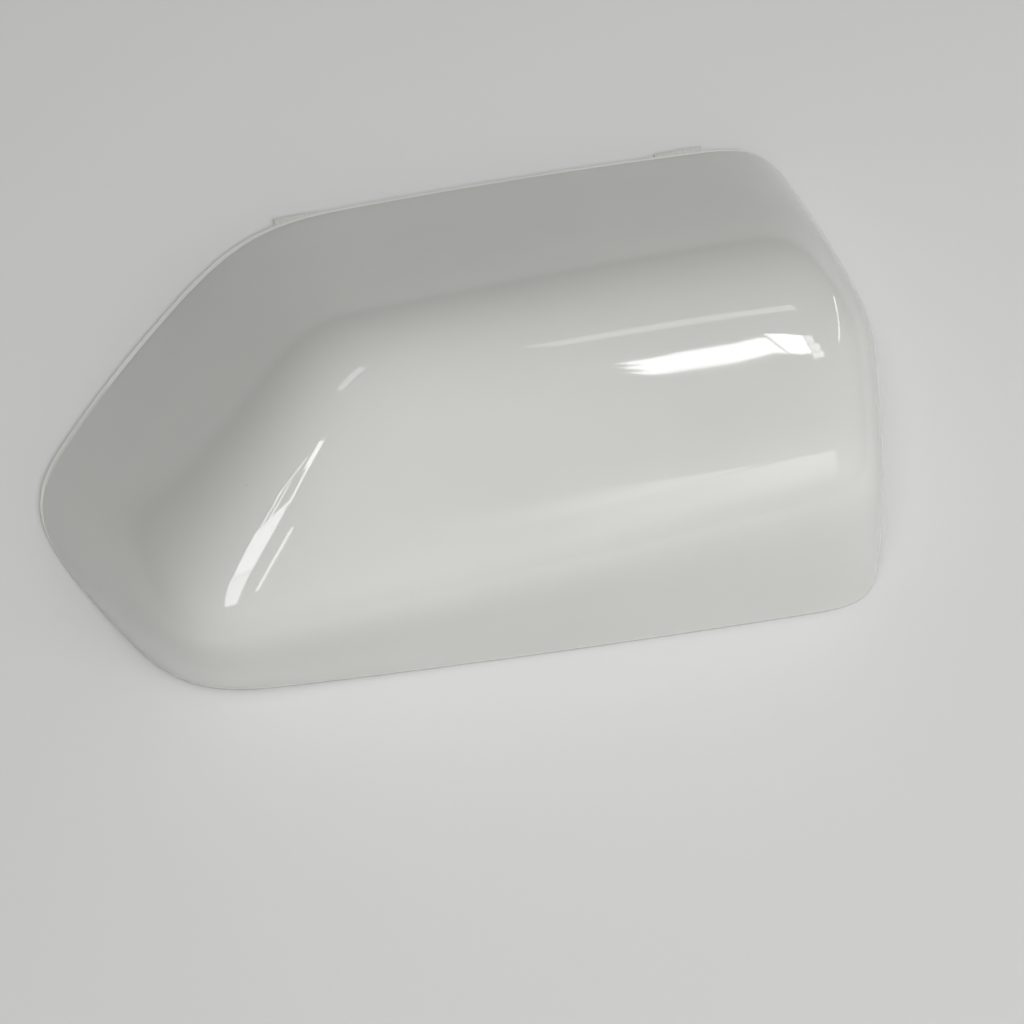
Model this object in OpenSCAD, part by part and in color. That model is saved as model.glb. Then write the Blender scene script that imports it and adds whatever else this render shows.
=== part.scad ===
// Wing mirror cover: one thin-walled moulding, lying open side down on its rim.
// The outside is six side faces and a front face, each slightly bowed, rolled into
// one another. The inside follows it at one wall thickness and carries the moulded
// hooks, tongues and pins that hold the cover on the mirror head.

/* [Top flank] */
// Distance from the datum to the rim, square to the edge
top_reach = 77.6; // [74:0.2:82]
// Direction the flank faces, seen from above, degrees
top_heading = 91.3; // [88:0.1:95]
// Place along the edge where its bow is centred
top_middle = -29; // [-50:1:20]
// Slope of the flank above the rim plane, degrees
top_slope = 40.5; // [36:0.5:48]
// Bow radius along the edge
top_bow = 2600; // [800:100:4000]
// Bow radius up the flank
top_crown = 1600; // [600:50:3000]

/* [Inboard flank] */
// Distance from the datum to the rim, square to the edge
inboard_reach = 88.4; // [84:0.2:94]
// Direction the flank faces, seen from above, degrees
inboard_heading = 130.3; // [126:0.1:135]
// Place along the edge where its bow is centred
inboard_middle = -5; // [-30:1:30]
// Slope of the flank above the rim plane, degrees
inboard_slope = 46; // [41:0.5:52]
// Bow radius along the edge
inboard_bow = 720; // [400:20:1500]
// Bow radius up the flank
inboard_crown = 1500; // [600:50:3000]
// Twist of the flank along its edge, degrees in 100 mm
inboard_twist = 9.8; // [5:0.1:13]
// Width of its roll into the top flank
inboard_roll = 14.5; // [8:0.5:30]

/* [Upper outboard corner] */
// Distance from the datum to the rim, square to the edge
corner_reach = 130.8; // [128:0.2:134]
// Direction the wall faces, seen from above, degrees
corner_heading = 14.9; // [10:0.1:20]
// Place along the edge where its bow is centred
corner_middle = 2; // [-20:1:20]
// Slope of the wall above the rim plane, degrees
corner_slope = 72.5; // [68:0.5:80]
// Bow radius along the edge
corner_bow = 2500; // [800:100:4000]
// Bow radius up the wall
corner_crown = 750; // [300:50:1500]
// Width of its roll into the top flank
corner_roll = 20; // [8:1:30]

/* [Outboard end wall] */
// Distance from the datum to the rim, square to the edge
end_reach = 128.4; // [124:0.2:133]
// Direction the wall faces, seen from above, degrees
end_heading = -12.7; // [-17:0.1:-8]
// Place along the edge where its bow is centred
end_middle = -37; // [-60:1:0]
// Slope of the wall above the rim plane, degrees
end_slope = 88.5; // [82:0.5:89]
// Bow radius along the edge
end_bow = 600; // [300:50:1500]
// Bow radius up the wall
end_crown = 250; // [180:10:1000]
// Width of its roll into the corner wall
end_roll = 6.5; // [4:0.5:20]

/* [Bottom wall] */
// Distance from the datum to the rim, square to the edge
bottom_reach = 77; // [73:0.2:81]
// Direction the wall faces, seen from above, degrees
bottom_heading = -91.3; // [-94:0.1:-88]
// Place along the edge where its bow is centred
bottom_middle = 14; // [-30:1:40]
// Slope of the wall above the rim plane, degrees
bottom_slope = 88.5; // [84:0.5:89]
// Bow radius along the edge
bottom_bow = 3600; // [1500:100:6000]
// Bow radius up the wall
bottom_crown = 310; // [200:10:800]
// Twist of the wall along its edge, degrees in 100 mm
bottom_twist = 10.3; // [5:0.1:13]
// Width of its roll into the end wall
bottom_roll = 20; // [10:1:30]

/* [Lower inboard wall] */
// Distance from the datum to the rim, square to the edge
tip_reach = 112.8; // [109:0.2:117]
// Direction the wall faces, seen from above, degrees
tip_heading = 213.8; // [210:0.1:218]
// Place along the edge where its bow is centred
tip_middle = -17; // [-40:1:10]
// Slope of the wall above the rim plane, degrees
tip_slope = 88.5; // [83:0.5:89]
// Bow radius along the edge
tip_bow = 4400; // [1500:100:6000]
// Bow radius up the wall
tip_crown = 240; // [160:10:600]
// Twist of the wall along its edge, degrees in 100 mm
tip_twist = -7; // [-10:0.5:-3]
// Width of its roll into the bottom wall and the inboard flank
tip_roll = 27; // [14:1:40]

/* [Front face] */
// Height of the front face over the rim plane
front_height = 59.8; // [55:0.2:66]
// Place of the top of its bow, along X and Y from the datum
front_middle = [10, -20]; // [-40:1:40]
// Lean of the front face towards the outboard end, degrees
front_lean_out = 0.4; // [-2:0.1:3]
// Lean of the front face towards the bottom wall, degrees
front_lean_down = 4.6; // [2:0.1:7]
// Bow radius along the length
front_bow = 6400; // [2000:100:9000]
// Bow radius from top to bottom
front_crown = 780; // [500:10:2000]
// Twist of the front face along its length, degrees in 100 mm
front_twist = 8.6; // [5:0.1:11]
// Width of the roll from the front face into the sides
front_roll = 25; // [16:1:34]

/* [Wall and rim] */
// Wall thickness
wall = 2.5; // [1.8:0.1:3.2]
// Height of the rim edge, up to where the smooth outside starts
rim_h = 1.2; // [0.8:0.1:2]
// Round on the corners of the rim edge
rim_round = 0.4; // [0.2:0.05:0.5]
// Lip that stands out along the inboard edge
lip_w = 1.5; // [0.6:0.1:2.4]
// Flare of the rim where there is no lip
flare_w = 0.1; // [0.05:0.05:0.3]
// Height at which hooks and tongues hold the rim over the ground
stand_h = 0.6; // [0.3:0.1:2]

/* [Tongues] */
// Places of the tongues along the top edge
tongue_places = [-82, 38]; // [-110:1:60]
// Width of a tongue
tongue_w = 15; // [8:1:24]
// Thickness of a tongue
tongue_t = 1.6; // [1.2:0.1:1.8]
// Reach of a tongue past the surface at the rim
tongue_out = 1.9; // [1:0.1:4]
// Reach of a tongue inwards from the rim
tongue_in = 12; // [8:0.5:18]
// Thickness of the gussets on a tongue
gusset_t = 1.6; // [1:0.1:2.5]

/* [Snap hooks] */
// Places of the hooks along the bottom wall
bottom_hook_places = [-50, 62]; // [-70:1:90]
// Place of the hook along the outboard end wall
end_hook_place = -22; // [-45:1:0]
// Place of the hook along the lower inboard wall
tip_hook_place = -16; // [-30:1:0]
// Width of a hook
hook_w = 14; // [8:1:20]
// Thickness of its spring leaf
hook_t = 2; // [1.4:0.1:2.6]
// Height of its root over the rim plane
hook_h = 22; // [16:1:28]
// Gap between the leaf and the wall, measured at the rim
hook_gap = 4; // [3:0.25:6]
// Thickness of the web between leaf and wall
hook_web_t = 2.4; // [1.6:0.1:3.5]
// Catch depth of the nose
hook_catch = 2; // [1:0.1:3]
// Height of the nose ramp
hook_ramp = 3.5; // [2:0.25:6]

/* [Locating pins] */
// Centre of the inboard pin
inboard_pin_at = [-52, -34]; // [-80:1:80]
// Centre of the outboard pin
outboard_pin_at = [92, -12]; // [-100:1:100]
// Diameter of a pin
pin_d = 5; // [4:0.1:7]
// Length of the free pin below its boss
pin_len = 14; // [8:0.5:18]
// Diameter of the boss that carries a pin
boss_d = 9; // [8:0.5:12]
// Height of the shoulder of a boss over the rim plane
shoulder_h = 26; // [20:1:36]
// Chamfer on the end of a pin
pin_chamfer = 0.8; // [0.3:0.1:1.2]
// Reach of a web from the centre of its boss, at the front face
web_reach = 15; // [8:0.5:20]
// Reach of a web past the boss, at the shoulder
web_foot = 1; // [0.5:0.25:3]
// Thickness of a web
web_t = 1.6; // [1:0.1:2.5]

/* [Mesh] */
// Cells along the length
cells_x = 46; // [24:2:48]
// Cells across the width
cells_y = 32; // [16:2:34]

/* [Hidden] */
$fn = 64;
paint = [0.86, 0.86, 0.84];

// Rays that find the skin leave a core inside the cover, by this share of its half size
core_share = 0.55;
half_length = end_reach - wall;
half_width = top_reach - wall;
// A start outside the skin, steps of the search, and the nudge for slopes
far_share = 1.5;
far_out = far_share * half_length;
search_steps = 8;
nudge = wall / 250;
// Length over which a twist is stated
twist_over = 100;
// How far the middle of a quarter round stands in from its corner
mid_round = 1 - cos(45);

function unit(v) = v / norm(v);
function plan(v) = [v.x, v.y];

// A bowed face: a point on it, its outward normal, its two directions, half curvatures
// and its change of slope for each unit along it
function side_face(reach, heading, middle, slope, bow, crown, twist = 0) =
    let (out = [cos(heading), sin(heading)], along = [-out.y, out.x])
    [[reach * out.x + middle * along.x, reach * out.y + middle * along.y, 0],
     [out.x * sin(slope), out.y * sin(slope), cos(slope)],
     [along.x, along.y, 0],
     [-out.x * cos(slope), -out.y * cos(slope), sin(slope)],
     0.5 / bow, 0.5 / crown, tan(twist) / twist_over];

top_face = side_face(top_reach, top_heading, top_middle, top_slope, top_bow, top_crown);
inboard_face = side_face(inboard_reach, inboard_heading, inboard_middle,
                         inboard_slope, inboard_bow, inboard_crown, inboard_twist);
corner_face = side_face(corner_reach, corner_heading, corner_middle,
                        corner_slope, corner_bow, corner_crown);
end_face = side_face(end_reach, end_heading, end_middle, end_slope, end_bow, end_crown);
bottom_face = side_face(bottom_reach, bottom_heading, bottom_middle,
                        bottom_slope, bottom_bow, bottom_crown, bottom_twist);
tip_face = side_face(tip_reach, tip_heading, tip_middle,
                     tip_slope, tip_bow, tip_crown, tip_twist);
front_face = [[front_middle.x, front_middle.y, front_height],
              unit([tan(front_lean_out), -tan(front_lean_down), 1]),
              [1, 0, 0], [0, 1, 0], 0.5 / front_bow, 0.5 / front_crown,
              tan(front_twist) / twist_over];

// Signed distance of a point over one face
function over(p, face) =
    let (d = p - face[0], a = d * face[2], b = d * face[3])
    d * face[1] + a * a * face[4] + b * b * face[5] + a * b * face[6];

// The larger of two values, rounded where they are nearly equal
function roll(a, b, width) =
    max(a, b) + width / 6 * pow(max(width - abs(a - b), 0) / width, 3);

// Signed distance over the whole outside: each side is rolled into those before it
function over_cover(p) =
    let (flanks = roll(over(p, top_face), over(p, inboard_face), inboard_roll),
         with_corner = roll(flanks, over(p, corner_face), corner_roll),
         with_end = roll(with_corner, over(p, end_face), end_roll),
         with_bottom = roll(with_end, over(p, bottom_face), bottom_roll),
         sides = roll(with_bottom, over(p, tip_face), tip_roll))
    roll(sides, over(p, front_face), front_roll);

// Outward slope of that distance, whose length is below 1 in the rolls
function slope_at(p) =
    let (here = over_cover(p))
    [for (axis = [[1, 0, 0], [0, 1, 0], [0, 0, 1]])
        (over_cover(p + nudge * axis) - here) / nudge];

// How far along a ray the skin lies, at a depth below the outside
function reach_along(from, dir, depth, t = far_out, left = search_steps) =
    left == 0 ? t :
    let (here = over_cover(from + t * dir) + depth,
         ahead = over_cover(from + (t + nudge) * dir) + depth)
    reach_along(from, dir, depth, t - here * nudge / (ahead - here), left - 1);

// Distance from the datum to the skin, at a place along one side and a height
function side_reach(heading, place, z, depth) =
    let (out = [cos(heading), sin(heading), 0])
    reach_along([-place * out.y, place * out.x, z], out, depth);

// Height of the skin over a point of the rim plane
function front_reach(x, y, depth) = reach_along([x, y, 0], [0, 0, 1], depth);

// A square grid folded onto a disc: radius share and angle of one grid point
function disc(u, v) =
    u == 0 && v == 0 ? [0, 0] :
    abs(u) >= abs(v) ? [abs(u), 45 * v / u + (u > 0 ? 0 : 180)] :
    [abs(v), 90 - 45 * u / v + (v > 0 ? 0 : 180)];

// The ray of one grid point: straight up in the middle, level at the rim
function grid_ray(u, v) =
    let (at = disc(u, v),
         spread = [half_length * cos(at[1]), half_width * sin(at[1]), 0],
         tilt = 90 * at[0])
    [[0, 0, rim_h] + core_share * at[0] * spread,
     sin(tilt) * unit(spread) + [0, 0, cos(tilt)]];

rays = [for (i = [0:cells_x], j = [0:cells_y])
    grid_ray(2 * i / cells_x - 1, 2 * j / cells_y - 1)];
outside = [for (ray = rays) ray[0] + reach_along(ray[0], ray[1], 0) * ray[1]];
inside = [for (k = [0:len(rays) - 1])
    let (ray = rays[k], depth = wall * norm(slope_at(outside[k])))
    ray[0] + reach_along(ray[0], ray[1], depth) * ray[1]];

// Grid points round the border, counter-clockwise from above
function at_grid(i, j) = i * (cells_y + 1) + j;
border = [for (i = [0:cells_x - 1]) at_grid(i, 0),
          for (j = [0:cells_y - 1]) at_grid(cells_x, j),
          for (i = [cells_x:-1:1]) at_grid(i, cells_y),
          for (j = [cells_y:-1:1]) at_grid(0, j)];
border_out = [for (k = border) unit(plan(slope_at(outside[k])))];

// The lip is widest where the rim faces inboard and up, and fades out round the tip
function lip_at(out) =
    let (facing = max(0, out * [cos(inboard_heading), sin(inboard_heading)]))
    flare_w + (lip_w - flare_w) * facing * facing;

// One ring of the rim edge, out from the outside or in from the inside
function outer_ring(share, z) =
    [for (k = [0:len(border) - 1])
        let (p = outside[border[k]], out = border_out[k],
             w = lip_at(out) - rim_round * share)
        [p.x + out.x * w, p.y + out.y * w, z]];
function inner_ring(share, z) =
    [for (k = [0:len(border) - 1])
        let (p = inside[border[k]], out = border_out[k], w = rim_round * share)
        [p.x + out.x * w, p.y + out.y * w, z]];
edge_rings = [outer_ring(mid_round, rim_h - mid_round * rim_round),
              outer_ring(0, rim_h - rim_round), outer_ring(0, rim_round),
              outer_ring(mid_round, mid_round * rim_round), outer_ring(1, 0),
              inner_ring(1, 0), inner_ring(0, rim_round)];

// Triangles of one grid cell; the diagonal runs towards the nearest grid corner
function cell(i, j, base, flip) =
    let (a = base + at_grid(i, j), b = base + at_grid(i + 1, j),
         c = base + at_grid(i + 1, j + 1), d = base + at_grid(i, j + 1),
         rising = (2 * i + 1 - cells_x) * (2 * j + 1 - cells_y) > 0,
         pair = rising ? [[a, d, c], [a, c, b]] : [[a, d, b], [d, c, b]])
    flip ? [for (t = pair) [t[0], t[2], t[1]]] : pair;

// Triangles between two rings of points
function strip(upper, lower) =
    let (n = len(upper))
    [for (k = [0:n - 1])
        let (m = (k + 1) % n)
        each [[upper[k], upper[m], lower[m]], [upper[k], lower[m], lower[k]]]];

count = len(outside);
function ring_index(r) = [for (k = [0:len(border) - 1]) 2 * count + r * len(border) + k];
ring_indices = [border, for (r = [0:len(edge_rings) - 1]) ring_index(r),
                [for (k = border) count + k]];

module shell() {
    polyhedron(
        points = concat(outside, inside, [for (ring = edge_rings) each ring]),
        faces = [for (i = [0:cells_x - 1], j = [0:cells_y - 1])
                     each concat(cell(i, j, 0, false), cell(i, j, count, true)),
                 for (r = [0:len(ring_indices) - 2])
                     each strip(ring_indices[r], ring_indices[r + 1])],
        convexity = 6);
}

// Turns a side so that X points out of the cover, at a place along that side
module at_side(heading, place) {
    rotate([0, 0, heading]) translate([0, place, 0]) children();
}

// A flat profile in the X and Z directions, given a width along Y
module upright(width) {
    translate([0, width / 2, 0]) rotate([90, 0, 0]) linear_extrude(width) children();
}

// A tongue under the rim, which slips behind the edge of the mirror head
module tongue(heading, place) {
    rim_x = side_reach(heading, place, 0, 0);
    back_x = rim_x - tongue_in;
    at_side(heading, place) {
        upright(tongue_w)
            polygon([[back_x, -stand_h], [rim_x + tongue_out - rim_round, -stand_h],
                     [rim_x + tongue_out, rim_round - stand_h],
                     [rim_x + tongue_out, tongue_t - stand_h - rim_round],
                     [rim_x + tongue_out - rim_round, tongue_t - stand_h],
                     [back_x, tongue_t - stand_h]]);
        for (side = [-1, 1]) translate([0, side * (tongue_w - gusset_t) / 2, 0])
            tongue_gusset(heading, place + side * (tongue_w - gusset_t) / 2, back_x, rim_x);
    }
}

// A gusset from a tongue up to the middle of the wall
module tongue_gusset(heading, place, back_x, rim_x) {
    top_z = (rim_x - back_x) * tan(top_slope) - wall / 2 / cos(top_slope);
    low_z = tongue_t - stand_h;
    upright(gusset_t)
        polygon([[back_x, -stand_h],
                 [side_reach(heading, place, low_z, wall / 2), low_z],
                 [side_reach(heading, place, top_z, wall / 2), top_z]]);
}

// A snap hook: a spring leaf held off the wall by a web, with a nose at its free end
module snap_hook(heading, place) {
    leaf_x = side_reach(heading, place, 0, wall) - hook_gap;
    nose_x = leaf_x - hook_t;
    web_z = hook_h - hook_web_t;
    at_side(heading, place) upright(hook_w)
        polygon([[leaf_x, -stand_h], [leaf_x, web_z],
                 [side_reach(heading, place, web_z, wall / 2), web_z],
                 [side_reach(heading, place, hook_h, wall / 2), hook_h],
                 [nose_x, hook_h], [nose_x, hook_ramp],
                 [nose_x - hook_catch, hook_ramp - hook_catch / 2],
                 [nose_x, -stand_h]]);
}

// A locating pin on a boss, with four webs up to the front face
module locating_pin(at) {
    root_z = front_reach(at.x, at.y, wall / 2);
    translate([at.x, at.y, 0]) {
        translate([0, 0, shoulder_h]) cylinder(d = boss_d, h = root_z - shoulder_h);
        translate([0, 0, shoulder_h - pin_len]) {
            translate([0, 0, pin_chamfer])
                cylinder(d = pin_d, h = pin_len + boss_d / 2 - pin_chamfer);
            cylinder(d1 = pin_d - 2 * pin_chamfer, d2 = pin_d, h = pin_chamfer);
        }
        for (turn = [0, 90]) rotate([0, 0, turn]) upright(web_t)
            polygon([[-boss_d / 2 - web_foot, shoulder_h], [boss_d / 2 + web_foot, shoulder_h],
                     for (s = [1:-0.25:-1])
                         let (x = s * web_reach)
                         [x, front_reach(at.x + x * cos(turn), at.y + x * sin(turn),
                                         wall / 2)]]);
    }
}

// The datum is moved so that the origin is at the middle of the footprint
rim_outer = edge_rings[2];
tongue_top = max([for (place = tongue_places, side = [-1, 1])
    let (reach = side_reach(top_heading, place, 0, 0) + tongue_out,
         along = place + side * tongue_w / 2)
    reach * sin(top_heading) + along * cos(top_heading)]);
low_x = min([for (p = rim_outer) p.x]);
high_x = max([for (p = rim_outer) p.x]);
low_y = min([for (p = rim_outer) p.y]);
high_y = max(tongue_top, max([for (p = rim_outer) p.y]));

module mirror_cover() {
    color(paint) translate([-(low_x + high_x) / 2, -(low_y + high_y) / 2, stand_h]) {
        shell();
        for (place = tongue_places) tongue(top_heading, place);
        for (place = bottom_hook_places) snap_hook(bottom_heading, place);
        snap_hook(end_heading, end_hook_place);
        snap_hook(tip_heading, tip_hook_place);
        locating_pin(inboard_pin_at);
        locating_pin(outboard_pin_at);
    }
}

mirror_cover();
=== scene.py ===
import math

import bmesh
import bpy
import numpy as np
from mathutils import Matrix, Vector


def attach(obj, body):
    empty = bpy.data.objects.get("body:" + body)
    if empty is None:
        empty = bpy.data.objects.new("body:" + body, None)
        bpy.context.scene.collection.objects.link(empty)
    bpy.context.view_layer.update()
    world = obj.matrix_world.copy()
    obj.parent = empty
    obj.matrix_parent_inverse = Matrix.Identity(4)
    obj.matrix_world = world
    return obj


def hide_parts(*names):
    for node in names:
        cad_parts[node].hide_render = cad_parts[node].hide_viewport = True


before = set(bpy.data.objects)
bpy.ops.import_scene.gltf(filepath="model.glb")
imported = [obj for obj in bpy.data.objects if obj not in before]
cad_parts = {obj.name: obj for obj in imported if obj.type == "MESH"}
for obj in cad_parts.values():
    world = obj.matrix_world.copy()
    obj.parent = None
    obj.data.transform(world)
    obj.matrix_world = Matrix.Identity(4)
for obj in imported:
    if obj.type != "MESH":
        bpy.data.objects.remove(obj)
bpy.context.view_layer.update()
weldDistance = 1e-6

# Faces of the outside, in metres and degrees from the datum of the moulding
coverFaces = {
    "top": dict(reach=0.0776, heading=91.3, middle=-0.029, slope=40.5, bow=2.6, crown=1.6),
    "inboard": dict(reach=0.0884, heading=130.3, middle=-0.005, slope=46, bow=0.72, crown=1.5,
                    twist=9.8),
    "corner": dict(reach=0.1308, heading=14.9, middle=0.002, slope=72.5, bow=2.5, crown=0.75),
    "end": dict(reach=0.1284, heading=-12.7, middle=-0.037, slope=88.5, bow=0.6, crown=0.25),
    "bottom": dict(reach=0.077, heading=-91.3, middle=0.014, slope=88.5, bow=3.6, crown=0.31,
                   twist=10.3),
    "tip": dict(reach=0.1128, heading=213.8, middle=-0.017, slope=88.5, bow=4.4, crown=0.24,
                twist=-7),
}
frontFace = dict(height=0.0598, middle=(0.010, -0.020), leanOut=0.4, leanDown=4.6,
                 bow=6.4, crown=0.78, twist=8.6)
# Width of the roll from each side into those before it, and into the front face
rollWidths = {"inboard": 0.0145, "corner": 0.020, "end": 0.0065, "bottom": 0.020,
              "tip": 0.027, "front": 0.025}
shellValues = {
    "wall": 0.0025,
    "rimHeight": 0.0012,
    "rimRound": 0.0004,
    "lip": 0.0015,
    "lipRound": 0.0003,
    "flare": 0.0001,
    "standHeight": 0.0006,
    "insetSkin": 0.00005,  # keeps the smooth skin inside the facets of the frame
    "gridX": 176,
    "gridY": 120,
    "roundSteps": 4,
    "coreShare": 0.55,     # how far the rays' starts spread from the middle towards the rim
    "datumSteps": 2881,
    "smooth": 40,
}
# The datum counts the tongues without their shift and inset, as the frame does
tongueValues = {"places": (-0.082, 0.038), "shift": -0.0055, "width": 0.015, "thick": 0.0016,
                "out": 0.0019, "tipInset": 0.0008, "inwards": 0.012, "gusset": 0.0016,
                "softEdge": 0.0003}
hookValues = {"places": (("bottom", -0.050), ("bottom", 0.062), ("end", -0.022), ("tip", -0.016)),
              "width": 0.014, "thick": 0.002, "height": 0.022, "gap": 0.004, "web": 0.0024,
              "catch": 0.002, "ramp": 0.0035, "softEdge": 0.0003}
pinValues = {"centres": ((-0.052, -0.034), (0.092, -0.012)), "pinRadius": 0.0025,
             "pinLength": 0.014, "bossRadius": 0.0045, "shoulder": 0.026, "chamfer": 0.0008,
             "webReach": 0.015, "webFoot": 0.001, "webSteps": 4, "web": 0.0016,
             "spinSteps": 48, "softEdge": 0.00025}


def unit(v):
    return v / np.linalg.norm(v, axis=-1, keepdims=True)


def sideFace(values):
    heading, slope = math.radians(values["heading"]), math.radians(values["slope"])
    out = np.array([math.cos(heading), math.sin(heading), 0])
    along = np.array([-out[1], out[0], 0])
    return dict(at=values["reach"] * out + values["middle"] * along,
                out=out * math.sin(slope) + np.array([0, 0, math.cos(slope)]),
                along=along, up=np.array([0, 0, math.sin(slope)]) - out * math.cos(slope),
                bow=values["bow"], crown=values["crown"], twist=values.get("twist", 0))


builtFaces = {name: sideFace(values) for name, values in coverFaces.items()}
builtFaces["front"] = dict(
    at=np.array([*frontFace["middle"], frontFace["height"]]),
    out=unit(np.array([math.tan(math.radians(frontFace["leanOut"])),
                       -math.tan(math.radians(frontFace["leanDown"])), 1])),
    along=np.array([1.0, 0, 0]), up=np.array([0, 1.0, 0]),
    bow=frontFace["bow"], crown=frontFace["crown"], twist=frontFace["twist"])


def overFace(points, face):
    # bowed both ways, and twisted by so many degrees in 100 mm along it
    d = points - face["at"]
    a, b = d @ face["along"], d @ face["up"]
    return d @ face["out"] + a * a / (2 * face["bow"]) + b * b / (2 * face["crown"]) \
        + a * b * math.tan(math.radians(face["twist"])) / 0.1


def overCover(points):
    # signed distance over the whole outside: each face is rolled into those before it
    total = overFace(points, builtFaces["top"])
    for name, width in rollWidths.items():
        other = overFace(points, builtFaces[name])
        near = np.maximum(width - np.abs(total - other), 0) / width
        total = np.maximum(total, other) + width / 6 * near ** 3
    return total


def slopeAt(points, nudge=1e-6):
    return np.stack([(overCover(points + nudge * axis) - overCover(points - nudge * axis))
                     / (2 * nudge) for axis in np.eye(3)], axis=-1)


def reachAlong(starts, directions, depth=0.0, farOut=0.19, steps=10, nudge=1e-6):
    # how far along each ray the skin lies, at a depth below the outside
    t = np.full(starts.shape[:-1], farOut)
    for step in range(steps):
        here = overCover(starts + t[..., None] * directions) + depth
        ahead = overCover(starts + (t + nudge)[..., None] * directions) + depth
        t = t - here * nudge / (ahead - here)
    return t


def sideReach(side, place, z, depth=0.0):
    # distance from the datum to the skin, at a place along one side and a height
    heading = math.radians(coverFaces[side]["heading"])
    out = np.array([[math.cos(heading), math.sin(heading), 0]])
    start = np.array([[-place * out[0, 1], place * out[0, 0], z]])
    return float(reachAlong(start, out, depth)[0])


def frontReach(x, y, depth=0.0):
    return float(reachAlong(np.array([[x, y, 0.0]]), np.array([[0, 0, 1.0]]), depth)[0])


def foldOntoDisc(u, v):
    # a square grid folded onto a disc: radius share and angle of each grid point
    wide = np.abs(u) >= np.abs(v)
    radius = np.where(wide, np.abs(u), np.abs(v))
    longer = np.where(wide, u, v)
    shorter = np.where(wide, v, u)
    share = np.divide(shorter, longer, out=np.zeros_like(u), where=longer != 0)
    angle = np.where(wide, 45 * share, 90 - 45 * share) + np.where(longer < 0, 180, 0)
    return radius, np.radians(angle)


def gridRays(u, v):
    # straight up in the middle of the cover, level at the rim
    s = shellValues
    radius, angle = foldOntoDisc(u, v)
    halfLength = coverFaces["end"]["reach"] - s["wall"]
    halfWidth = coverFaces["top"]["reach"] - s["wall"]
    spread = np.stack([halfLength * np.cos(angle), halfWidth * np.sin(angle),
                       np.zeros_like(angle)], axis=-1)
    tilt = (radius * math.pi / 2)[..., None]
    starts = s["coreShare"] * radius[..., None] * spread + np.array([0, 0, s["rimHeight"]])
    return starts, np.sin(tilt) * unit(spread) + np.cos(tilt) * np.array([0, 0, 1.0])


def skinPoints(u, v):
    starts, directions = gridRays(u, v)
    inset = shellValues["insetSkin"]
    outer = starts + reachAlong(starts, directions, inset)[..., None] * directions
    depth = shellValues["wall"] * np.linalg.norm(slopeAt(outer), axis=-1)
    inner = starts + reachAlong(starts, directions, depth)[..., None] * directions
    return outer, inner


def lipAt(out):
    # the lip is widest where the rim faces inboard and up, and fades out round the tip
    s = shellValues
    heading = math.radians(coverFaces["inboard"]["heading"])
    facing = np.maximum(0, out @ np.array([math.cos(heading), math.sin(heading)]))
    return s["flare"] + (s["lip"] - s["flare"]) * facing ** 2


def planOut(points):
    return unit(slopeAt(points)[..., :2])


def rimProfile(lip):
    # steps of the rim edge as outward distance and height, from the outside to the underside
    s = shellValues
    profile = []
    for step in range(s["roundSteps"] + 1):
        a = math.pi / 2 * (1 - step / s["roundSteps"])
        profile.append((lip - np.minimum(s["lipRound"], lip) * (1 - math.cos(a)),
                        s["rimHeight"] - s["lipRound"] * (1 - math.sin(a))))
    for step in range(1, s["roundSteps"] + 1):
        a = math.pi / 2 * step / s["roundSteps"]
        profile.append((lip - s["rimRound"] * (1 - math.cos(a)),
                        s["rimRound"] * (1 - math.sin(a))))
    return profile


# The datum moves so that the origin is in the middle of the footprint, as in the frame
def findDatum():
    s = shellValues
    angle = np.linspace(-math.pi, math.pi, s["datumSteps"])
    starts = np.stack([0 * angle, 0 * angle, 0 * angle + s["rimHeight"]], axis=-1)
    directions = np.stack([np.cos(angle), np.sin(angle), 0 * angle], axis=-1)
    rim = starts + reachAlong(starts, directions)[..., None] * directions
    out = planOut(rim)
    rim = rim[..., :2] + lipAt(out)[..., None] * out
    low, high = rim.min(axis=0), rim.max(axis=0)
    heading = math.radians(coverFaces["top"]["heading"])
    t = tongueValues
    tips = [(sideReach("top", place, 0) + t["out"]) * math.sin(heading)
            + (place + side * t["width"] / 2) * math.cos(heading)
            for place in t["places"] for side in (-1, 1)]
    high[1] = max(high[1], *tips)
    return np.array([*(-(low + high) / 2), s["standHeight"]])


datum = findDatum()
print("datum of the moulding in the frame", datum.round(6))


def newObject(name, bm, materials, smooth=30):
    # smooth up to a number of degrees between faces, sharp past it
    mesh = bpy.data.meshes.new(name)
    bm.to_mesh(mesh)
    bm.free()
    for material in materials:
        mesh.materials.append(material)
    for polygon in mesh.polygons:
        polygon.use_smooth = True
    mesh.set_sharp_from_angle(angle=math.radians(smooth))
    piece = bpy.data.objects.new(name, mesh)
    bpy.context.scene.collection.objects.link(piece)
    return piece


def setOnFrame(piece):
    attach(piece, "root")
    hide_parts("mirror_cover")


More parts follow.
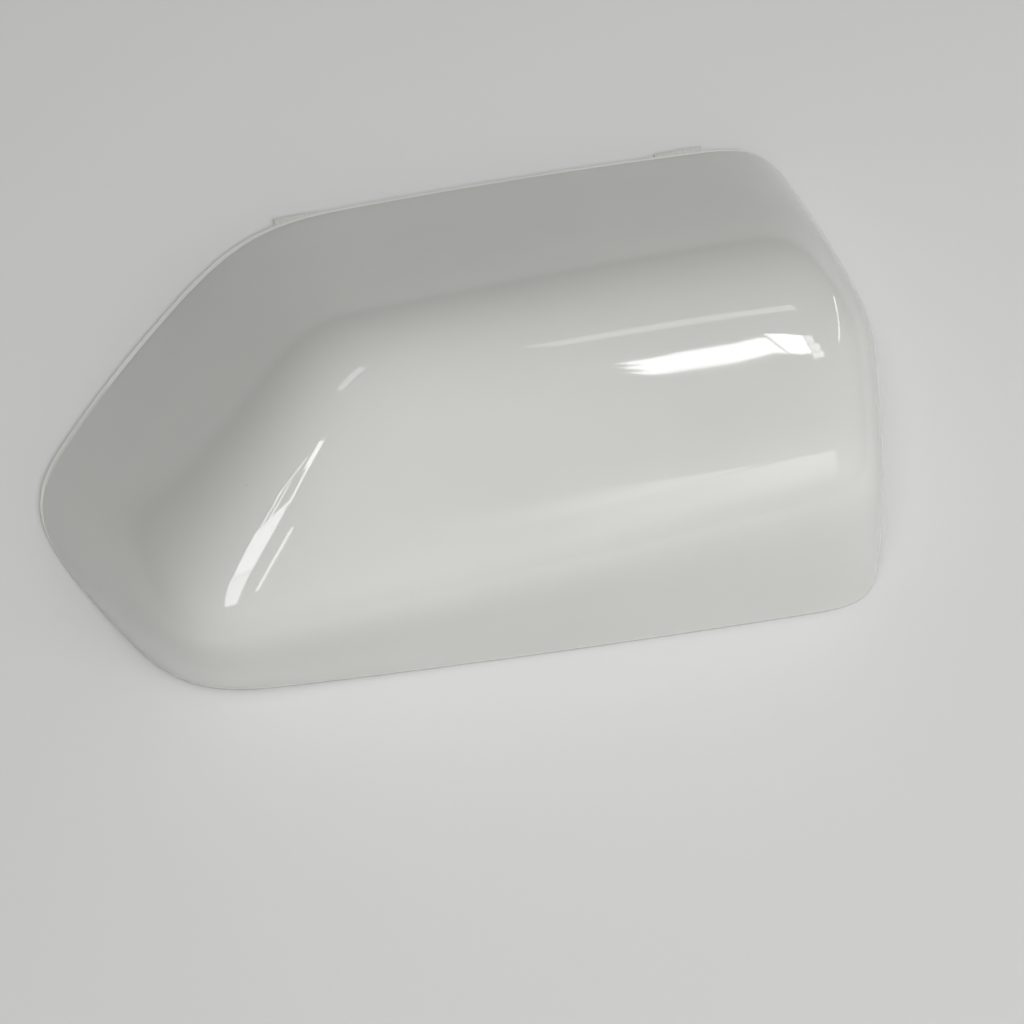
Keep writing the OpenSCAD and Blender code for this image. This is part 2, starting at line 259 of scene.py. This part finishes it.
# Outer skin, rounded rim edge and inner skin, made as one closed shell
def makeShell(paint, plastic):
    s = shellValues
    bm = bmesh.new()
    grid = dict(x_segments=s["gridX"], y_segments=s["gridY"], size=1)
    outerVerts = bmesh.ops.create_grid(bm, **grid)["verts"]
    innerVerts = bmesh.ops.create_grid(bm, **grid)["verts"]
    u = np.array([vert.co.x for vert in outerVerts])
    v = np.array([vert.co.y for vert in outerVerts])
    outer, inner = skinPoints(u, v)
    for vert, point in zip(outerVerts + innerVerts, np.concatenate([outer, inner])):
        vert.co = point
    for vert in innerVerts:
        for face in vert.link_faces:
            face.material_index = 1

    onRim = {vert: k for k, vert in enumerate(outerVerts) if vert.is_boundary}
    out = planOut(outer)
    lip = lipAt(out)
    r = s["rimRound"]
    rings = [(outer[:, :2] + np.asarray(w)[..., None] * out, z, 0) for w, z in rimProfile(lip)]
    for step in range(s["roundSteps"] + 1):
        a = math.pi / 2 * step / s["roundSteps"]
        rings.append((inner[:, :2] + r * (1 - math.sin(a)) * out, r * (1 - math.cos(a)), 1))
    rings.append((inner[:, :2], s["rimHeight"], 1))

    rimEdges = [edge for edge in bm.edges if edge.is_boundary and edge.verts[0] in onRim]
    for ring, z, material in rings:
        made = bmesh.ops.extrude_edge_only(bm, edges=rimEdges)["geom"]
        after = {}
        for vert in made:
            if isinstance(vert, bmesh.types.BMVert):
                source = [e.other_vert(vert) for e in vert.link_edges
                          if e.other_vert(vert) in onRim][0]
                after[vert] = onRim[source]
                vert.co = (*ring[onRim[source]], z)
        for face in made:
            if isinstance(face, bmesh.types.BMFace):
                face.material_index = material
        rimEdges = [edge for edge in made if isinstance(edge, bmesh.types.BMEdge)
                    and edge.verts[0] in after and edge.verts[1] in after]
        onRim = after
    bmesh.ops.remove_doubles(bm, verts=bm.verts, dist=weldDistance)
    bmesh.ops.recalc_face_normals(bm, faces=bm.faces)
    bmesh.ops.translate(bm, verts=bm.verts, vec=Vector(datum))
    print("shell has", sum(not edge.is_manifold for edge in bm.edges), "open edges")
    return newObject("coverShell", bm, [paint, plastic], s["smooth"])


def addTo(bm, part, where):
    # a finished block goes to its place and joins the rest of its piece
    bmesh.ops.transform(part, matrix=where, verts=part.verts)
    mesh = bpy.data.meshes.new("part")
    part.to_mesh(mesh)
    part.free()
    bm.from_mesh(mesh)
    bpy.data.meshes.remove(mesh)


def uprightBlock(outline, width, softEdge):
    # a profile in X and Z, given a width along Y, with its edges softened
    part = bmesh.new()
    face = part.faces.new([part.verts.new((x, width / 2, z)) for x, z in outline])
    made = bmesh.ops.extrude_face_region(part, geom=[face])["geom"]
    bmesh.ops.translate(part, vec=(0, -width, 0),
                        verts=[v for v in made if isinstance(v, bmesh.types.BMVert)])
    bmesh.ops.recalc_face_normals(part, faces=part.faces)
    bmesh.ops.bevel(part, geom=part.edges[:], offset=softEdge, offset_type="OFFSET",
                    segments=2, profile=0.5, affect="EDGES", material=-1)
    return part


def atSide(side, along):
    heading = math.radians(coverFaces[side]["heading"])
    return Matrix.Translation(datum) @ Matrix.Rotation(heading, 4, "Z") \
        @ Matrix.Translation((0, along, 0))


def makeTongues(plastic):
    t = tongueValues
    low = -shellValues["standHeight"]
    halfWall = shellValues["wall"] / 2
    slope = math.radians(coverFaces["top"]["slope"])
    bm = bmesh.new()
    for along in [place + t["shift"] for place in t["places"]]:
        rimX = sideReach("top", along, 0)
        tipX = rimX + t["out"] - t["tipInset"]
        backX, high = rimX - t["inwards"], t["thick"] + low
        plate = [(backX, low), (tipX, low), (tipX, high), (backX, high)]
        addTo(bm, uprightBlock(plate, t["width"], shellValues["rimRound"]),
              atSide("top", along))
        topZ = t["inwards"] * math.tan(slope) - halfWall / math.cos(slope)
        for side in (-1, 1):
            spot = along + side * (t["width"] - t["gusset"]) / 2
            gusset = [(backX, low + t["thick"] / 2),
                      (sideReach("top", spot, high, halfWall), high),
                      (sideReach("top", spot, topZ, halfWall), topZ)]
            addTo(bm, uprightBlock(gusset, t["gusset"], t["softEdge"]), atSide("top", spot))
    return newObject("topTongues", bm, [plastic])


def makeHooks(plastic):
    h = hookValues
    low = -shellValues["standHeight"]
    halfWall = shellValues["wall"] / 2
    bm = bmesh.new()
    for side, along in h["places"]:
        leafX = sideReach(side, along, 0, shellValues["wall"]) - h["gap"]
        noseX, webZ = leafX - h["thick"], h["height"] - h["web"]
        profile = [(leafX, low), (leafX, webZ), (sideReach(side, along, webZ, halfWall), webZ),
                   (sideReach(side, along, h["height"], halfWall), h["height"]),
                   (noseX, h["height"]), (noseX, h["ramp"]),
                   (noseX - h["catch"], h["ramp"] - h["catch"] / 2), (noseX, low)]
        hook = uprightBlock(profile, h["width"], h["softEdge"])
        for vert in hook.verts:
            # the web's end follows the curved wall, and nothing reaches past its middle
            wallX = sideReach(side, along + vert.co.y, vert.co.z, halfWall)
            if vert.co.x > leafX + h["softEdge"]:
                vert.co.x += wallX - sideReach(side, along, vert.co.z, halfWall)
            vert.co.x = min(vert.co.x, wallX)
        addTo(bm, hook, atSide(side, along))
    return newObject("snapHooks", bm, [plastic])


def makePins(plastic):
    p = pinValues
    halfWall = shellValues["wall"] / 2
    bm = bmesh.new()
    for x, y in p["centres"]:
        here = Matrix.Translation(Vector((x, y, 0)) + Vector(datum))
        rootZ, tipZ = frontReach(x, y, halfWall), p["shoulder"] - p["pinLength"]
        profile = [(0, tipZ), (p["pinRadius"] - p["chamfer"], tipZ),
                   (p["pinRadius"], tipZ + p["chamfer"]), (p["pinRadius"], p["shoulder"]),
                   (p["bossRadius"] - p["softEdge"], p["shoulder"]),
                   (p["bossRadius"], p["shoulder"] + p["softEdge"]), (p["bossRadius"], rootZ),
                   (0, rootZ)]
        pin = bmesh.new()
        verts = [pin.verts.new((r, 0, z)) for r, z in profile]
        edges = [pin.edges.new(pair) for pair in zip(verts, verts[1:])]
        bmesh.ops.spin(pin, geom=verts + edges, cent=(0, 0, 0), axis=(0, 0, 1),
                       angle=math.tau, steps=p["spinSteps"], use_merge=True)
        bmesh.ops.remove_doubles(pin, verts=pin.verts, dist=weldDistance)
        for vert in pin.verts:
            if vert.co.z > p["shoulder"] + p["bossRadius"]:
                vert.co.z = frontReach(x + vert.co.x, y + vert.co.y, halfWall)
        bmesh.ops.recalc_face_normals(pin, faces=pin.faces)
        addTo(bm, pin, here)
        for turn in (0, 90):
            c, s = math.cos(math.radians(turn)), math.sin(math.radians(turn))
            # the foot stands a little higher than the boss's end, clear of its flat ring
            foot, footZ = p["bossRadius"] + p["webFoot"], p["shoulder"] + p["softEdge"]
            web = [(-foot, footZ), (foot, footZ)]
            for step in range(p["webSteps"], -p["webSteps"] - 1, -1):
                reach = step / p["webSteps"] * p["webReach"]
                web.append((reach, frontReach(x + reach * c, y + reach * s, halfWall)))
            addTo(bm, uprightBlock(web, p["web"], p["softEdge"]),
                  here @ Matrix.Rotation(math.radians(turn), 4, "Z"))
    return newObject("locatingPins", bm, [plastic])


class Wire:
    # a value on its way through a material: arithmetic on it adds its Math nodes
    def __init__(self, finish, socket):
        self.finish, self.socket = finish, socket

    def maths(self, operation, first, second=0.0):
        return self.finish.add("ShaderNodeMath", {"operation": operation}, {0: first, 1: second})

    def __add__(self, other):
        return self.maths("ADD", self, other)

    def __radd__(self, other):
        return self.maths("ADD", other, self)

    def __sub__(self, other):
        return self.maths("SUBTRACT", self, other)

    def __rsub__(self, other):
        return self.maths("SUBTRACT", other, self)

    def __mul__(self, other):
        return self.maths("MULTIPLY", self, other)

    def __rmul__(self, other):
        return self.maths("MULTIPLY", other, self)

    def atMost(self, other):
        return self.maths("MINIMUM", self, other)

    def below(self, other):
        return self.maths("LESS_THAN", self, other)


class Finish:
    # a material, lamp or world that grows one node at a time
    def __init__(self, holder):
        holder.use_nodes = True
        self.holder = holder
        self.nodes, self.links = holder.node_tree.nodes, holder.node_tree.links

    def add(self, kind, settings={}, sockets={}, output=0):
        node = self.nodes.new(kind)
        for name, value in settings.items():
            setattr(node, name, value)
        for name, value in sockets.items():
            self.feed(node.inputs[name], value)
        return Wire(self, node.outputs[output])

    def feed(self, socket, value):
        if isinstance(value, Wire):
            self.links.new(value.socket, socket)
        else:
            socket.default_value = value

    def shade(self, values):
        shader = self.nodes["Principled BSDF"]
        for name, value in values.items():
            self.feed(shader.inputs[name], value)

    def objectPlace(self):
        return self.add("ShaderNodeTexCoord", output="Object")

    def noise(self, place, scale, detail=2.0, roughness=0.5, distortion=0.0):
        return self.add("ShaderNodeTexNoise", {}, {"Vector": place, "Scale": scale,
                        "Detail": detail, "Roughness": roughness, "Distortion": distortion})

    def tint(self, amount, fromColour, toColour):
        return self.add("ShaderNodeMix", {"data_type": "RGBA"},
                        {0: amount, 6: fromColour, 7: toColour}, 2)

    def ramp(self, amount, low, high):
        # rises smoothly from 0 at low to 1 at high
        return self.add("ShaderNodeMapRange", {"interpolation_type": "SMOOTHSTEP"},
                        {"Value": amount, "From Min": low, "From Max": high})


def colour(*parts):
    return (*parts, 1.0)


# Gloss paint on the outside: fine orange peel, a little cloudiness, a few specks of dust
paintValues = {
    "white": (0.80, 0.808, 0.768),
    "cloud": (0.775, 0.784, 0.75),
    "speck": (0.42, 0.41, 0.39),
    "roughness": 0.035,
    "coat": 0.35,
    "coatRoughness": 0.02,
    "cloudScale": 14,
    "cloudRange": (0.35, 0.7),
    "cloudRoughness": 0.02,
    "peelSize": 0.0022,
    "peelDepth": 0.000004,
    "peelFine": 0.35,
    "peelFiner": 3.1,
    "peelStrength": 0.35,
    "speckSpacing": 0.009,
    "speckRadius": 0.00028,
    "speckCore": 0.6,
    "speckShare": 0.25,
    "speckStrength": 0.8,
    "speckRoughness": 0.4,
}


def makePaint():
    v = paintValues
    finish = Finish(bpy.data.materials.new("glossWhitePaint"))
    where = finish.objectPlace()
    cloud = finish.ramp(finish.noise(where, v["cloudScale"], 3, 0.55), *v["cloudRange"])
    peel = finish.noise(where, 1 / v["peelSize"], 1.5, 0.4) \
        + v["peelFine"] * finish.noise(where, v["peelFiner"] / v["peelSize"], 1, 0.4)
    cells = {"Vector": where, "Scale": 1 / v["speckSpacing"], "Randomness": 1.0}
    spread = finish.add("ShaderNodeTexVoronoi", {"feature": "F1"}, cells)
    lot = finish.add("ShaderNodeTexVoronoi", {"feature": "F1"}, cells, "Color")
    chosen = finish.add("ShaderNodeSeparateColor", {}, {"Color": lot}).below(v["speckShare"])
    radius = v["speckRadius"] / v["speckSpacing"]
    speck = (1 - finish.ramp(spread, v["speckCore"] * radius, radius)) * chosen
    white = finish.tint(cloud, colour(*v["white"]), colour(*v["cloud"]))
    finish.shade({
        "Base Color": finish.tint(speck * v["speckStrength"], white, colour(*v["speck"])),
        "Roughness": v["roughness"] + v["cloudRoughness"] * cloud + v["speckRoughness"] * speck,
        "IOR": 1.5,
        "Coat Weight": v["coat"],
        "Coat Roughness": v["coatRoughness"],
        "Normal": finish.add("ShaderNodeBump", {}, {"Strength": v["peelStrength"],
                                                    "Height": peel, "Distance": v["peelDepth"]}),
    })
    return finish.holder


# Moulded plastic on the inside, with paint mist that thins out away from the rim
plasticValues = {
    "grey": (0.60, 0.60, 0.575),
    "flow": (0.53, 0.53, 0.51),
    "mist": (0.78, 0.78, 0.755),
    "flowScale": (12, 45, 45),
    "flowRange": (0.35, 0.72),
    "mistFoot": 0.001,
    "mistTop": 0.015,
    "driftScale": 160,
    "driftHeight": 0.012,
    "dotScale": 2400,
    "dotRange": (0.42, 0.62),
    "dotShare": 0.45,
    "roughness": 0.56,
    "flowRoughness": 0.08,
    "mistRoughness": -0.16,
    "grainSize": 0.0006,
    "grainDepth": 0.00002,
    "grainStrength": 0.5,
}


def makePlastic():
    v = plasticValues
    finish = Finish(bpy.data.materials.new("mouldedPlastic"))
    where = finish.objectPlace()
    stretched = finish.add("ShaderNodeMapping", {}, {"Vector": where, "Scale": v["flowScale"]})
    flow = finish.ramp(finish.noise(stretched, 1, 4, 0.6, 0.6), *v["flowRange"])
    grain = finish.noise(where, 1 / v["grainSize"], 2, 0.6)
    height = finish.add("ShaderNodeSeparateXYZ", {}, {"Vector": where}, "Z")
    drift = finish.noise(where, v["driftScale"], 3, 0.65)
    mist = 1 - finish.ramp(height + v["driftHeight"] * (drift - 0.5), v["mistFoot"],
                           v["mistTop"])
    dots = finish.ramp(finish.noise(where, v["dotScale"], 1, 0.5), *v["dotRange"])
    mist = (mist * (1 - v["dotShare"] + v["dotShare"] * dots)).atMost(1)
    plain = finish.tint(flow, colour(*v["grey"]), colour(*v["flow"]))
    finish.shade({
        "Base Color": finish.tint(mist, plain, colour(*v["mist"])),
        "Roughness": v["roughness"] + v["flowRoughness"] * flow + v["mistRoughness"] * mist,
        "IOR": 1.53,
        "Normal": finish.add("ShaderNodeBump", {}, {"Strength": v["grainStrength"],
                                                    "Height": grain,
                                                    "Distance": v["grainDepth"]}),
    })
    return finish.holder


# Pale floor, wide enough for every view
floorValues = {"half": 4.0, "pale": (0.78, 0.78, 0.775), "mottle": (0.75, 0.75, 0.745),
               "mottleScale": 3, "roughness": 0.75, "horizon": (0.52, 0.52, 0.515),
               "nearEnd": 0.8, "farEnd": 3.0}


def makeFloor():
    v = floorValues
    finish = Finish(bpy.data.materials.new("paleFloor"))
    where = finish.objectPlace()
    mottle = finish.noise(where, v["mottleScale"], 4, 0.6)
    # the camera alone sees it stay pale far off, where no lamp reaches
    apart = finish.add("ShaderNodeVectorMath", {"operation": "LENGTH"}, {0: where}, "Value")
    seen = finish.add("ShaderNodeLightPath", output="Is Camera Ray")
    far = seen * finish.ramp(apart, v["nearEnd"], v["farEnd"])
    finish.shade({"Base Color": finish.tint(mottle, colour(*v["pale"]), colour(*v["mottle"])),
                  "Roughness": v["roughness"],
                  "Emission Color": finish.tint(far, colour(0, 0, 0), colour(*v["horizon"])),
                  "Emission Strength": 1.0})
    bm = bmesh.new()
    bmesh.ops.create_grid(bm, x_segments=1, y_segments=1, size=v["half"])
    floor = newObject("floor", bm, [finish.holder])


# Studio light. Bearings are in degrees: 0 is the far side, 90 is +X, 180 the near side. A middle
# is a bearing, an elevation and a distance. The soft panels shade the cover
softLamps = {
    "nearPanel": dict(middle=(150, 45, 1.6), size=(1.8, 1.0), level=1.95),
    "rightPanel": dict(middle=(90, 50, 1.6), size=(1.2, 1.0), level=0.6),
    "topPanel": dict(middle=(180, 80, 1.8), size=(1.2, 0.8), level=4.5),
}
# The bright panes are only seen in its gloss, and are set off from the middle of their group
paneGroups = {
    "window": dict(middle=(22, 55, 2.2), panes={
        "Tip": dict(offset=(0.0265, 0.248), size=(0.045, 0.03), turn=70, level=9),
        "Step": dict(offset=(0.029, 0.205), size=(0.044, 0.066), turn=70, level=9),
        "Head": dict(offset=(0.0145, 0.1215), size=(0.12, 0.094), turn=70, level=9),
        "Bar": dict(offset=(-0.033, -0.021), size=(0.178, 0.096), turn=69, level=9),
        "Shoulder": dict(offset=(-0.0355, -0.1215), size=(0.028, 0.045), turn=28, level=9),
        "Neck": dict(offset=(-0.076, -0.113), size=(0.035, 0.145), turn=28, level=9),
        "End": dict(offset=(-0.171, -0.191), size=(0.188, 0.18), turn=28, level=9),
        "LastLow": dict(offset=(-0.2795, -0.3085), size=(0.098, 0.085), turn=28, level=4.5),
        "LastMiddle": dict(offset=(-0.3605, -0.2515), size=(0.188, 0.08), turn=28, level=4.5),
        "LastHigh": dict(offset=(-0.4215, -0.1955), size=(0.243, 0.063), turn=28, level=4.5),
    }),
    "upperStreak": dict(middle=(16, 44, 2.2), panes={
        "Start": dict(offset=(0.01, 0.085), size=(0.4, 0.075), turn=55, level=1.6),
        "End": dict(offset=(-0.22, -0.15), size=(0.29, 0.08), turn=33, level=1.8),
    }),
    "left": dict(middle=(-70, 62, 2.2), panes={
        "Top": dict(offset=(-0.425, 0.06), size=(0.14, 0.09), turn=-10, level=7),
        "Branch": dict(offset=(-0.275, 0.07), size=(0.16, 0.04), turn=2, level=6),
        "Middle": dict(offset=(0.0755, -0.061), size=(0.555, 0.303), turn=7, level=6),
        "Hair": dict(offset=(-0.27, -0.117), size=(0.14, 0.02), turn=-10, level=9),
        "OuterHair": dict(offset=(-0.268, -0.195), size=(0.14, 0.024), turn=-6, level=9),
        "HairEnd": dict(offset=(-0.382, -0.112), size=(0.17, 0.016), turn=-57, level=8),
        "Low": dict(offset=(0.9, 0.005), size=(1.06, 0.328), turn=5.4, level=5),
        "Thread": dict(offset=(0.5, 0.39), size=(1.0, 0.045), turn=8, level=5),
    }),
    "patch": dict(middle=(-20, 48, 2.2), panes={
        "Pane": dict(offset=(-0.01, 0.02), size=(0.4, 0.14), turn=25, level=2),
    }),
    "rightStreak": dict(middle=(45, 25, 2.2), panes={
        "Pane": dict(offset=(-0.1, -0.1), size=(0.9, 0.05), turn=106, level=5),
    }),
    "near": dict(middle=(160, 60, 1.6), panes={
        "Glow": dict(offset=(-0.09, 0.74), size=(0.65, 0.5), turn=-74, level=1.7,
                     fade=((0.15, 1), (0, 1))),
        "Wall": dict(offset=(0.15, -0.32), size=(1.0, 1.5), turn=-14, level=1.7,
                     fade=((0, 0.5), (-0.2, 1))),
    }),
}
lampsAim = (0, -0.01, 0.04)


def direction(bearing, elevation):
    b, e = math.radians(bearing), math.radians(elevation)
    return Vector((math.sin(b) * math.cos(e), math.cos(b) * math.cos(e), math.sin(e)))


def makeLamp(name, v, middle, gloss):
    lamp = bpy.data.lights.new(name, type="AREA")
    lamp.shape = "RECTANGLE"
    lamp.size, lamp.size_y = v["size"]
    lamp.energy = v["level"] * math.pi * v["size"][0] * v["size"][1]
    if "fade" in v:
        # from dark to full light between two shares of its X, and the same along its Y
        (darkX, fullX), (darkY, fullY) = v["fade"]
        finish = Finish(lamp)
        spot = finish.add("ShaderNodeNewGeometry", output="Parametric")
        shareX = finish.add("ShaderNodeSeparateXYZ", {}, {"Vector": spot}, "X")
        shareY = finish.add("ShaderNodeSeparateXYZ", {}, {"Vector": spot}, "Y")
        finish.feed(finish.nodes["Emission"].inputs["Strength"],
                    finish.ramp(shareX, darkX, fullX) * finish.ramp(shareY, darkY, fullY))
    holder = bpy.data.objects.new(name, lamp)
    bearing, elevation, distance = middle
    away = direction(bearing, elevation)
    facing = (-away).to_track_quat("-Z", "Y")
    offset = Vector((*v.get("offset", (0, 0)), 0))
    holder.location = Vector(lampsAim) + away * distance + facing @ offset
    holder.rotation_mode = "QUATERNION"
    turn = Matrix.Rotation(math.radians(v.get("turn", 0)), 3, "Z").to_quaternion()
    holder.rotation_quaternion = facing @ turn
    holder.visible_diffuse, holder.visible_glossy = not gloss, gloss
    bpy.context.scene.collection.objects.link(holder)


# Dim all round, brighter overhead and on the near side, plain and pale to the camera
worldValues = {"level": 0.05, "nearShare": 0.8, "upShare": 0.2, "tint": (1, 1, 0.99),
               "backdrop": (0.56, 0.56, 0.555)}


def makeWorld():
    v = worldValues
    world = bpy.data.worlds.new("studio")
    bpy.context.scene.world = world
    finish = Finish(world)
    where = finish.add("ShaderNodeTexCoord", output="Generated")
    apart = finish.add("ShaderNodeSeparateXYZ", {}, {"Vector": where})
    up = Wire(finish, apart.socket.node.outputs["Z"])
    near = 0 - Wire(finish, apart.socket.node.outputs["Y"])
    level = v["level"] * (1 + v["nearShare"] * near + v["upShare"] * up)
    seen = finish.add("ShaderNodeLightPath", output="Is Camera Ray")
    background = finish.nodes["Background"]
    finish.feed(background.inputs["Color"],
                finish.tint(seen, colour(*v["tint"]), colour(*v["backdrop"])))
    finish.feed(background.inputs["Strength"], level * (1 - seen) + seen)


# The camera stands where the photo was taken from
cameraValues = {"bearing": 189.4, "elevation": 67, "distance": 0.6733,
                "target": (0.0107, -0.0340, 0.0006), "lens": 81.2, "sensor": 36,
                "clip": (0.01, 50)}


def makeCamera():
    v = cameraValues
    camera = bpy.data.cameras.new("camera")
    camera.sensor_width, camera.lens = v["sensor"], v["lens"]
    camera.clip_start, camera.clip_end = v["clip"]
    holder = bpy.data.objects.new("camera", camera)
    away = direction(v["bearing"], v["elevation"])
    holder.location = Vector(v["target"]) + away * v["distance"]
    holder.rotation_mode = "QUATERNION"
    holder.rotation_quaternion = (-away).to_track_quat("-Z", "Y")
    bpy.context.scene.collection.objects.link(holder)
    bpy.context.scene.camera = holder


makeCamera()
makeWorld()
for name, values in softLamps.items():
    makeLamp(name, values, values["middle"], False)
for group, shared in paneGroups.items():
    for name, values in shared["panes"].items():
        makeLamp(group + name, values, shared["middle"], True)
makeFloor()
print("camera, light and floor are set")

paint, plastic = makePaint(), makePlastic()
pieces = [makeShell(paint, plastic), makeTongues(plastic), makeHooks(plastic),
          makePins(plastic)]
for piece in pieces:
    setOnFrame(piece)
    print(piece.name, len(piece.data.polygons), "faces")

bpy.context.scene.view_settings.view_transform = "Standard"
